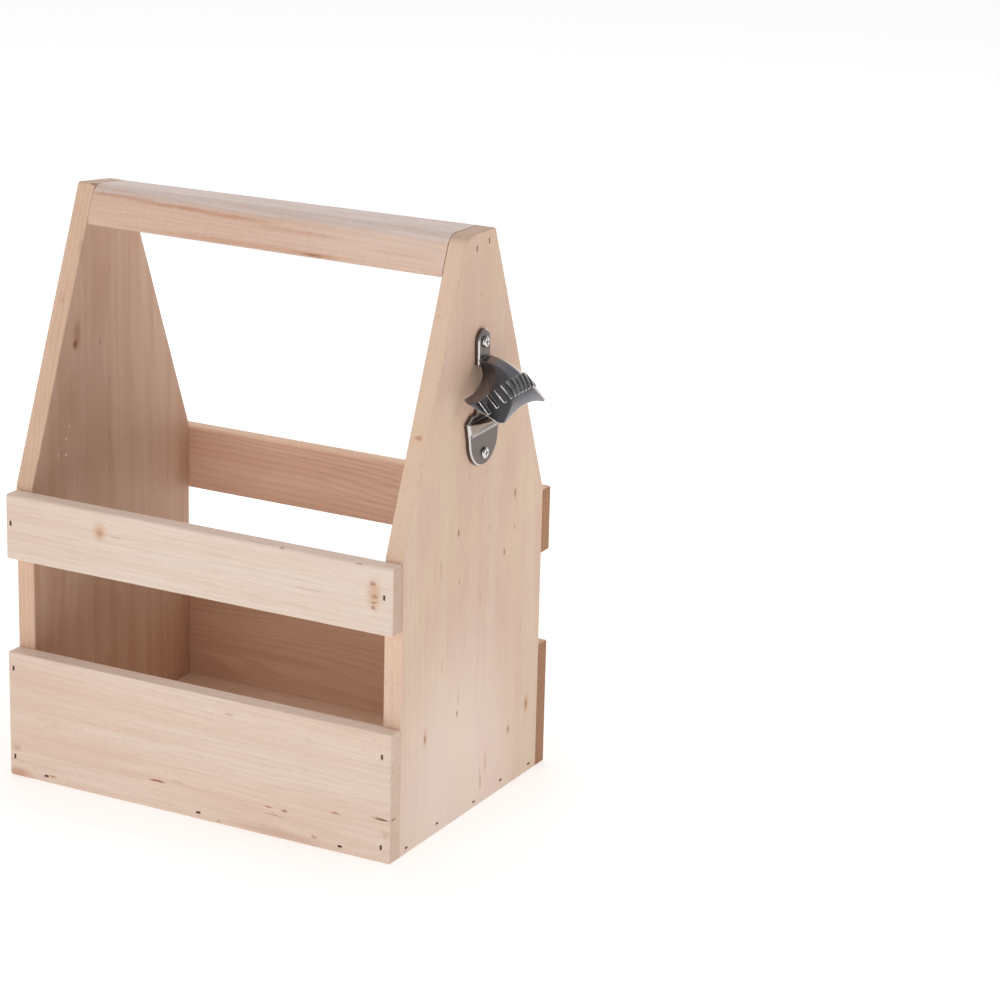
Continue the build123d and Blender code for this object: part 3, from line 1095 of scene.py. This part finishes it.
@dataclass
class Opener:
    """The cast bottle opener and its two screws."""

    cast_slot: str = "opener_metal"
    screw_slot: str = "screw_steel"
    # E9E5E1 is the casting's bright wear and its painted highlights on edges and rim.
    cast: CastFinish = CastFinish("opener_casting", "6A605B", "E9E5E1", 0.31, edge_share=0.95)
    chrome: MetalFinish = MetalFinish(
        "screw_chrome", "D2CFCC", "F2F0EE", 0.14, cloud_share=0.08, skin=2.0, edge_radius=0.15
    )

    def build(self) -> None:
        """Dress the casting and its screws."""
        dress("bottle_opener", self.cast.material())
        chrome = self.chrome.material()
        dress("opener_top_screw", chrome)
        dress("opener_bottom_screw", chrome)


@dataclass(frozen=True)
class Lamp:
    """One softbox: its place, what it points at, its size and power, and whether metal mirrors it.

    Lengths are metres and the power is watts.
    """

    name: str
    place: Triple
    target: Triple
    size: float
    power: float
    tone: str = "FFFFFF"
    mirrored: bool = True

    def build(self) -> None:
        """Hang the softbox."""
        light = bpy.data.lights.new(self.name, "AREA")
        light.shape = "SQUARE"
        light.size = self.size
        light.energy = self.power
        light.color = tint(self.tone)[:3]
        lamp = bpy.data.objects.new(self.name, light)
        lamp.location = self.place
        aim = Vector(self.target) - Vector(self.place)
        lamp.rotation_euler = aim.to_track_quat("-Z", "Y").to_euler()
        lamp.visible_glossy = self.mirrored
        bpy.context.scene.collection.objects.link(lamp)


@dataclass
class Studio:
    """The pale floor, the soft light round it and the camera.

    Lengths are metres, but for the sensor's width, which is millimetres, and angles are radians:
    the camera is turned about Z, dips below the level and rolls about the way it looks. The
    focal share is its focal length over the sensor's width, and the sight is how far it sees.
    The floor glows white from its white span on. The sky is brightest beyond the caddy and low
    down, and a span is where that starts and where it is full.
    """

    camera_place: Triple = (1.02698, -1.65966, 0.78300)
    turn: float = 0.48630
    dip: float = 0.30190
    roll: float = 0.02470
    focal_share: float = 3.37776
    sensor: float = 36.0
    sight: float = 36.0
    floor_radius: float = 9.0
    floor_sides: int = 96
    floor_tone: str = "DEDDDC"
    floor_rough: float = 0.9
    floor_glow: float = 0.70
    white_span: Pair = (0.22, 0.75)
    sky_tone: str = "FFFFFF"
    sky_dim: float = 0.24
    sky_bright: float = 1.8
    beyond_span: Pair = (0.5, 0.95)
    low_span: Pair = (0.6, 0.25)
    lamps: tuple[Lamp, ...] = (
        Lamp("key_softbox", (1.9, 0.3, 0.30), (0.13, 0.0, 0.06), 0.8, 8.4, "FFF9F4", False),
        Lamp("front_softbox", (-0.3, -2.4, 0.8), (0.0, -0.1, 0.13), 1.6, 21.5, "FFFDFB"),
        Lamp("top_softbox", (0.0, 0.3, 2.2), (0.0, 0.0, 0.0), 1.8, 21.0, "FFFFFF", False),
    )

    def build(self) -> None:
        """Build the floor, the lamps, the sky and the camera."""
        self.floor()
        for lamp in self.lamps:
            lamp.build()
        self.sky()
        self.camera()
        view = bpy.context.scene.view_settings
        view.view_transform = "Standard"
        view.look = "None"

    def floor(self) -> None:
        """Lay a wide pale disc under the caddy, which turns white away from it."""
        disc = bmesh.new()
        size = {"segments": self.floor_sides, "radius": self.floor_radius}
        bmesh.ops.create_circle(disc, cap_ends=True, **size)
        mesh = bpy.data.meshes.new("studio_floor")
        disc.to_mesh(mesh)
        disc.free()
        floor = bpy.data.objects.new("studio_floor", mesh)
        bpy.context.scene.collection.objects.link(floor)
        graph = Graph(bpy.data.materials.new("studio_floor_paint"))
        away = graph.measure("LENGTH", graph.node("ShaderNodeTexCoord").outputs["Object"])
        white = graph.mix(away.step(*self.white_span), tint(self.floor_tone), tint(self.sky_tone))
        mesh.materials.append(
            graph.surface(
                {
                    "Base Color": tint(self.floor_tone),
                    "Roughness": self.floor_rough,
                    "Specular IOR Level": 0.0,
                    "Emission Color": white,
                    "Emission Strength": self.floor_glow,
                }
            )
        )

    def sky(self) -> None:
        """Light the scene from all round, brightest low down beyond the caddy."""
        world = bpy.data.worlds.new("studio_sky")
        bpy.context.scene.world = world
        graph = Graph(world)
        way = graph.node("ShaderNodeTexCoord").outputs["Generated"]
        ahead = (-math.sin(self.turn), math.cos(self.turn), 0.0)
        beyond = graph.measure("DOT_PRODUCT", way, ahead).step(*self.beyond_span)
        low = graph.split(way)[2].step(*self.low_span)
        bright = self.sky_dim + beyond * low * (self.sky_bright - self.sky_dim)
        lit = graph.node("ShaderNodeBackground", None, {"Color": bright}).outputs[0]
        seen = graph.node("ShaderNodeBackground", None, {"Color": tint(self.sky_tone)}).outputs[0]
        looked_at = graph.node("ShaderNodeLightPath").outputs["Is Camera Ray"]
        both = graph.node("ShaderNodeMixShader", None, {0: looked_at, 1: lit, 2: seen})
        graph.close("ShaderNodeOutputWorld", both.outputs[0])

    def camera(self) -> None:
        """Stand the camera where the photograph was taken from."""
        data = bpy.data.cameras.new("camera")
        data.sensor_width = self.sensor
        data.lens = self.sensor * self.focal_share
        data.clip_end = self.sight
        forward = Vector(
            (
                -math.sin(self.turn) * math.cos(self.dip),
                math.cos(self.turn) * math.cos(self.dip),
                -math.sin(self.dip),
            )
        )
        level = Vector((math.cos(self.turn), math.sin(self.turn), 0))
        upright = level.cross(forward)
        right = math.cos(self.roll) * level + math.sin(self.roll) * upright
        above = math.cos(self.roll) * upright - math.sin(self.roll) * level
        pose = Matrix((right, above, -forward)).transposed().to_4x4()
        pose.translation = Vector(self.camera_place)
        camera = bpy.data.objects.new("camera", data)
        camera.matrix_world = pose
        bpy.context.scene.collection.objects.link(camera)
        bpy.context.scene.camera = camera


def main() -> None:
    """Set the studio up, dress every piece of the caddy and report each of them."""
    logging.basicConfig(level=logging.INFO, format="%(name)s: %(message)s")
    Studio().build()
    for part in (EndPanels(), SideBoards(), FloorAndHandle(), Fasteners(), Opener()):
        part.build()
        log.info("%s dressed", type(part).__name__)


if __name__ == "__main__":
    main()
